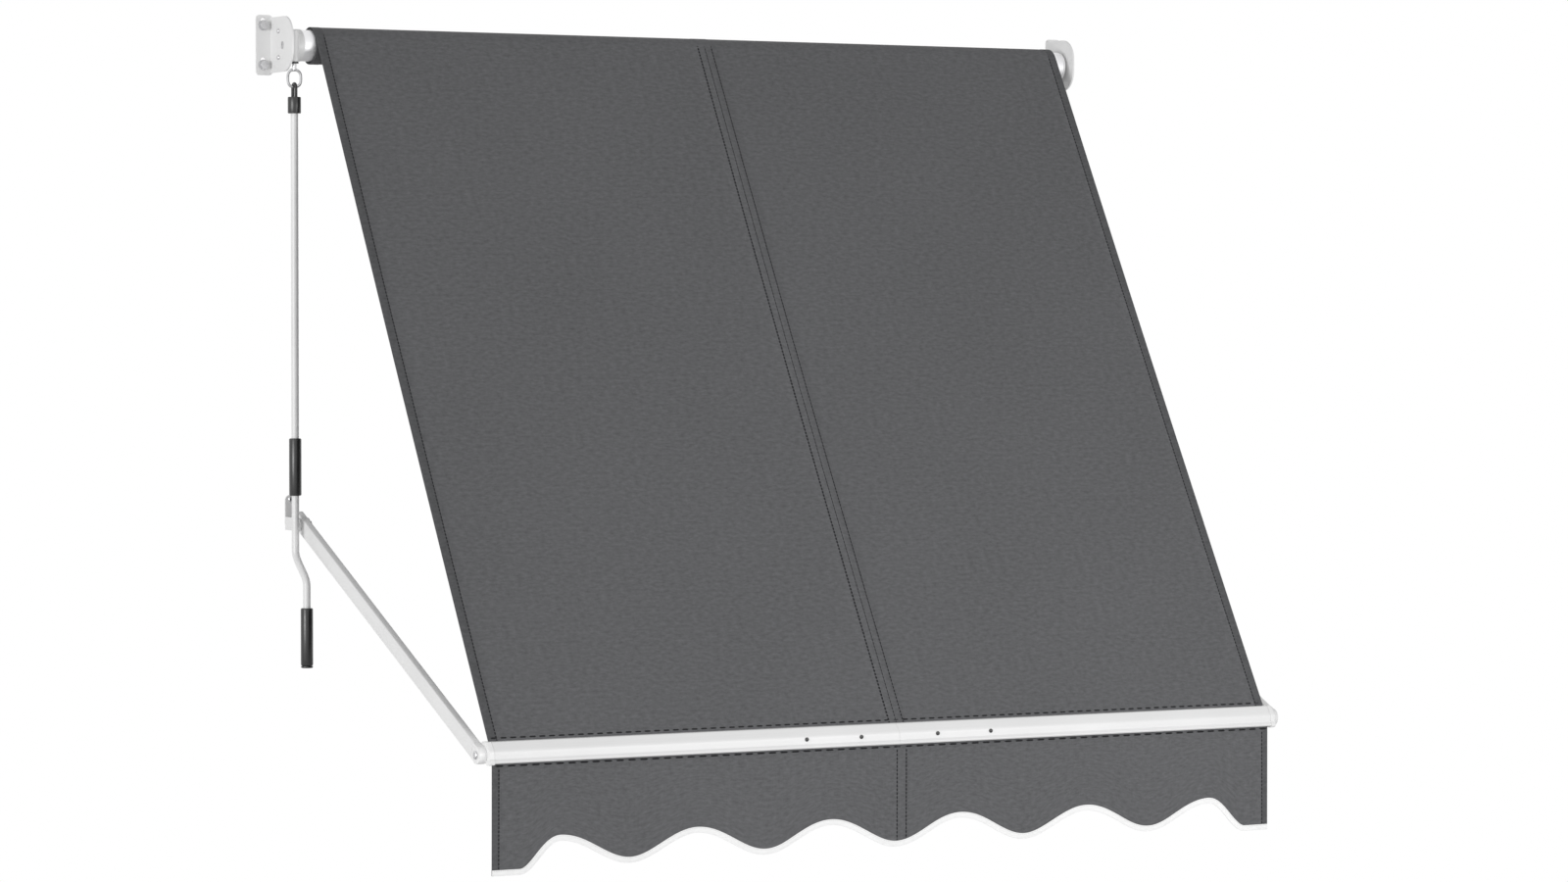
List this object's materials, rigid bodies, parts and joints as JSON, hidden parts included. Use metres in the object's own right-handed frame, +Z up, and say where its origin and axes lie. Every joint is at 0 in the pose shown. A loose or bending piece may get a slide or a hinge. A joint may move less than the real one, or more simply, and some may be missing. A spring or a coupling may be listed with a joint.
{
  "type": "window awning",
  "caption": "Drop-arm window awning with roller, slate cloth canopy, scalloped valance, white frame and hanging crank.",
  "frame": {"origin": "on the wall plane, at mid-width, at the height of the roller's axis", "axes": "+X along the wall to the right as seen from outside, +Y into the wall, +Z up"},
  "size_m": [1.5071, 0.7494, 1.3078],
  "materials": {
    "steel": "zinc plated",
    "black_coat": "black coated steel",
    "white_coat": "satin white powder coat",
    "white_aluminium": "satin white powder coat on aluminium",
    "bare_aluminium": "mill finish",
    "white_plastic": "moulded",
    "black_plastic": "glossy",
    "keder_plastic": "matt",
    "slate_cloth": "woven polyester, matt",
    "white_tape": "woven binding tape"
  },
  "bodies": {
    "frame": {"left_roller_bracket": "white_coat", "right_roller_bracket": "white_coat", "gear_housing": "white_coat", "left_arm_bracket": "white_coat", "right_arm_bracket": "white_coat", "left_upper_wall_bolt": "steel", "left_lower_wall_bolt": "steel", "right_upper_wall_bolt": "steel", "right_lower_wall_bolt": "steel", "upper_gear_screw": "steel", "lower_gear_screw": "steel", "idler_pin": "steel", "idler_clip": "steel", "left_upper_arm_screw": "steel", "left_lower_arm_screw": "steel", "right_upper_arm_screw": "steel", "right_lower_arm_screw": "steel", "left_pivot_bolt": "steel", "left_pivot_nut": "steel", "right_pivot_bolt": "steel", "right_pivot_nut": "steel", "worm_bush": "black_plastic", "canopy": "slate_cloth"},
    "roller": {"roller_tube": "bare_aluminium", "canopy_roll": "slate_cloth", "drive_plug": "steel", "idler_plug": "white_plastic", "worm_wheel": "steel"},
    "worm": {"worm_with_eye": "steel"},
    "crank": {"crank_hook": "black_coat", "hook_ferrule": "black_plastic", "crank_rod": "white_aluminium", "crank_end_cap": "black_plastic"},
    "upper_grip": {"upper_grip": "black_plastic"},
    "lower_grip": {"lower_grip": "black_plastic"},
    "left_arm": {"left_arm": "white_aluminium", "left_knuckle": "white_plastic"},
    "right_arm": {"right_arm": "white_aluminium", "right_knuckle": "white_plastic"},
    "front_bar": {"front_bar_left": "white_aluminium", "front_bar_right": "white_aluminium", "bar_splice": "bare_aluminium", "splice_screw_1": "black_coat", "splice_screw_2": "black_coat", "splice_screw_3": "black_coat", "splice_screw_4": "black_coat", "left_bar_cap": "white_plastic", "right_bar_cap": "white_plastic", "left_bar_pin": "steel", "right_bar_pin": "steel", "canopy_keder": "keder_plastic", "valance": "slate_cloth", "valance_binding": "white_tape", "valance_keder": "keder_plastic"}
  },
  "joints": [
    {"name": "arm_swing", "type": "hinge", "parent": "frame", "child": "left_arm", "pos_m": [-0.705, -0.053, -0.762], "axis": [-1, 0, 0], "range_deg": [0, 111.5], "deforming": ["canopy"]},
    {"name": "right_arm_swing", "type": "hinge", "parent": "frame", "child": "right_arm", "pos_m": [0.705, -0.053, -0.762], "axis": [-1, 0, 0], "range_deg": [0, 111.5]},
    {"name": "bar_pivot", "type": "hinge", "parent": "left_arm", "child": "front_bar", "pos_m": [0, -0.71106, -1.078], "axis": [-1, 0, 0], "range_deg": [-111.5, 0]},
    {"name": "roller_spin", "type": "hinge", "parent": "frame", "child": "roller", "pos_m": [0, -0.05, 0], "axis": [-1, 0, 0], "range_deg": [0, 2376.5]},
    {"name": "worm_spin", "type": "hinge", "parent": "frame", "child": "worm", "pos_m": [-0.7261, -0.072, 0], "axis": [0, 0, 1], "continuous": true},
    {"name": "crank_swing", "type": "hinge", "parent": "worm", "child": "crank", "pos_m": [-0.7261, -0.072, -0.067], "axis": [-1, 0, 0], "range_deg": [-3, 60]},
    {"name": "upper_grip_spin", "type": "hinge", "parent": "crank", "child": "upper_grip", "pos_m": [-0.7261, -0.072, -0.6695], "axis": [0, 0, 1], "continuous": true},
    {"name": "lower_grip_spin", "type": "hinge", "parent": "crank", "child": "lower_grip", "pos_m": [-0.7261, -0.117, -0.937], "axis": [0, 0, 1], "continuous": true}
  ],
  "couplings": [
    {"joint": "right_arm_swing", "follows": "arm_swing", "ratio": 1},
    {"joint": "bar_pivot", "follows": "arm_swing", "ratio": -1},
    {"joint": "roller_spin", "follows": "arm_swing", "ratio": 21.309}
  ]
}
